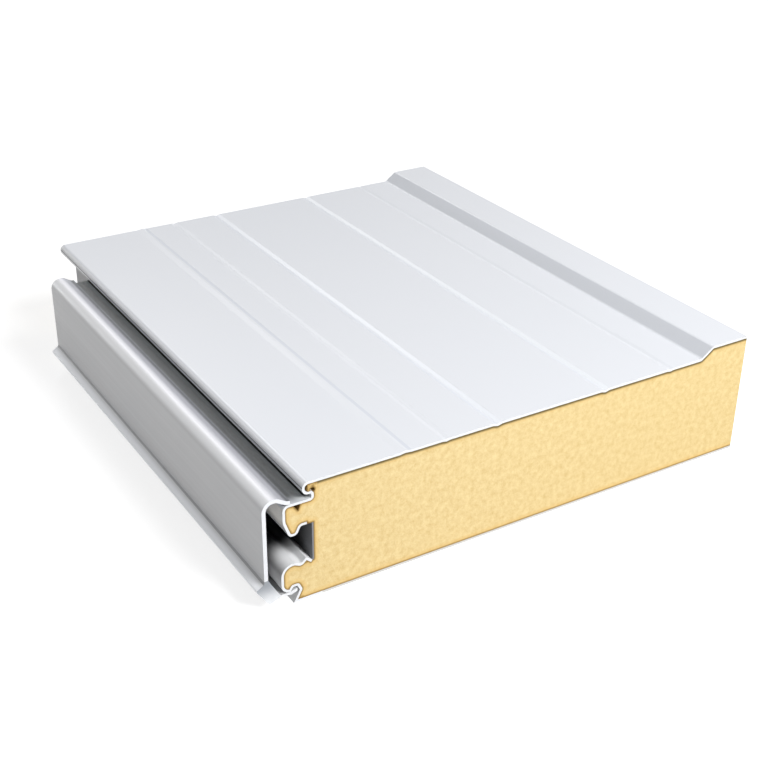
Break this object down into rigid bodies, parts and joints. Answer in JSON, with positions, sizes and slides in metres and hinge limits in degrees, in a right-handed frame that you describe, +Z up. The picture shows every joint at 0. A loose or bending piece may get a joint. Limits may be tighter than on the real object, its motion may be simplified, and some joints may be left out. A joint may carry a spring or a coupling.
{
  "type": "sandwich panel",
  "caption": "Foam-cored metal-faced sandwich panel offcut with finger-joint edge, clip-on edge profile, creased face and raised strip.",
  "frame": {"origin": "middle of the footprint, on the floor under the back skin", "axes": "+X across the panel from the jointed edge to the plain edge, +Y along the joint, +Z up through the thickness to the creased face"},
  "size_m": [0.1846, 0.2, 0.0435],
  "materials": {
    "face_paint": "semi-gloss pale blue-white coil coating",
    "back_paint": "satin pale grey coil coating",
    "foam": "sawn rigid foam, fine cells",
    "tape": "matt dark sealing tape",
    "profile_metal": "satin mill-finish extrusion"
  },
  "bodies": {
    "root": {"face_skin": "face_paint", "back_skin": "back_paint", "foam_core": "foam", "recess_tape": "tape", "edge_profile": "profile_metal"}
  },
  "joints": []
}
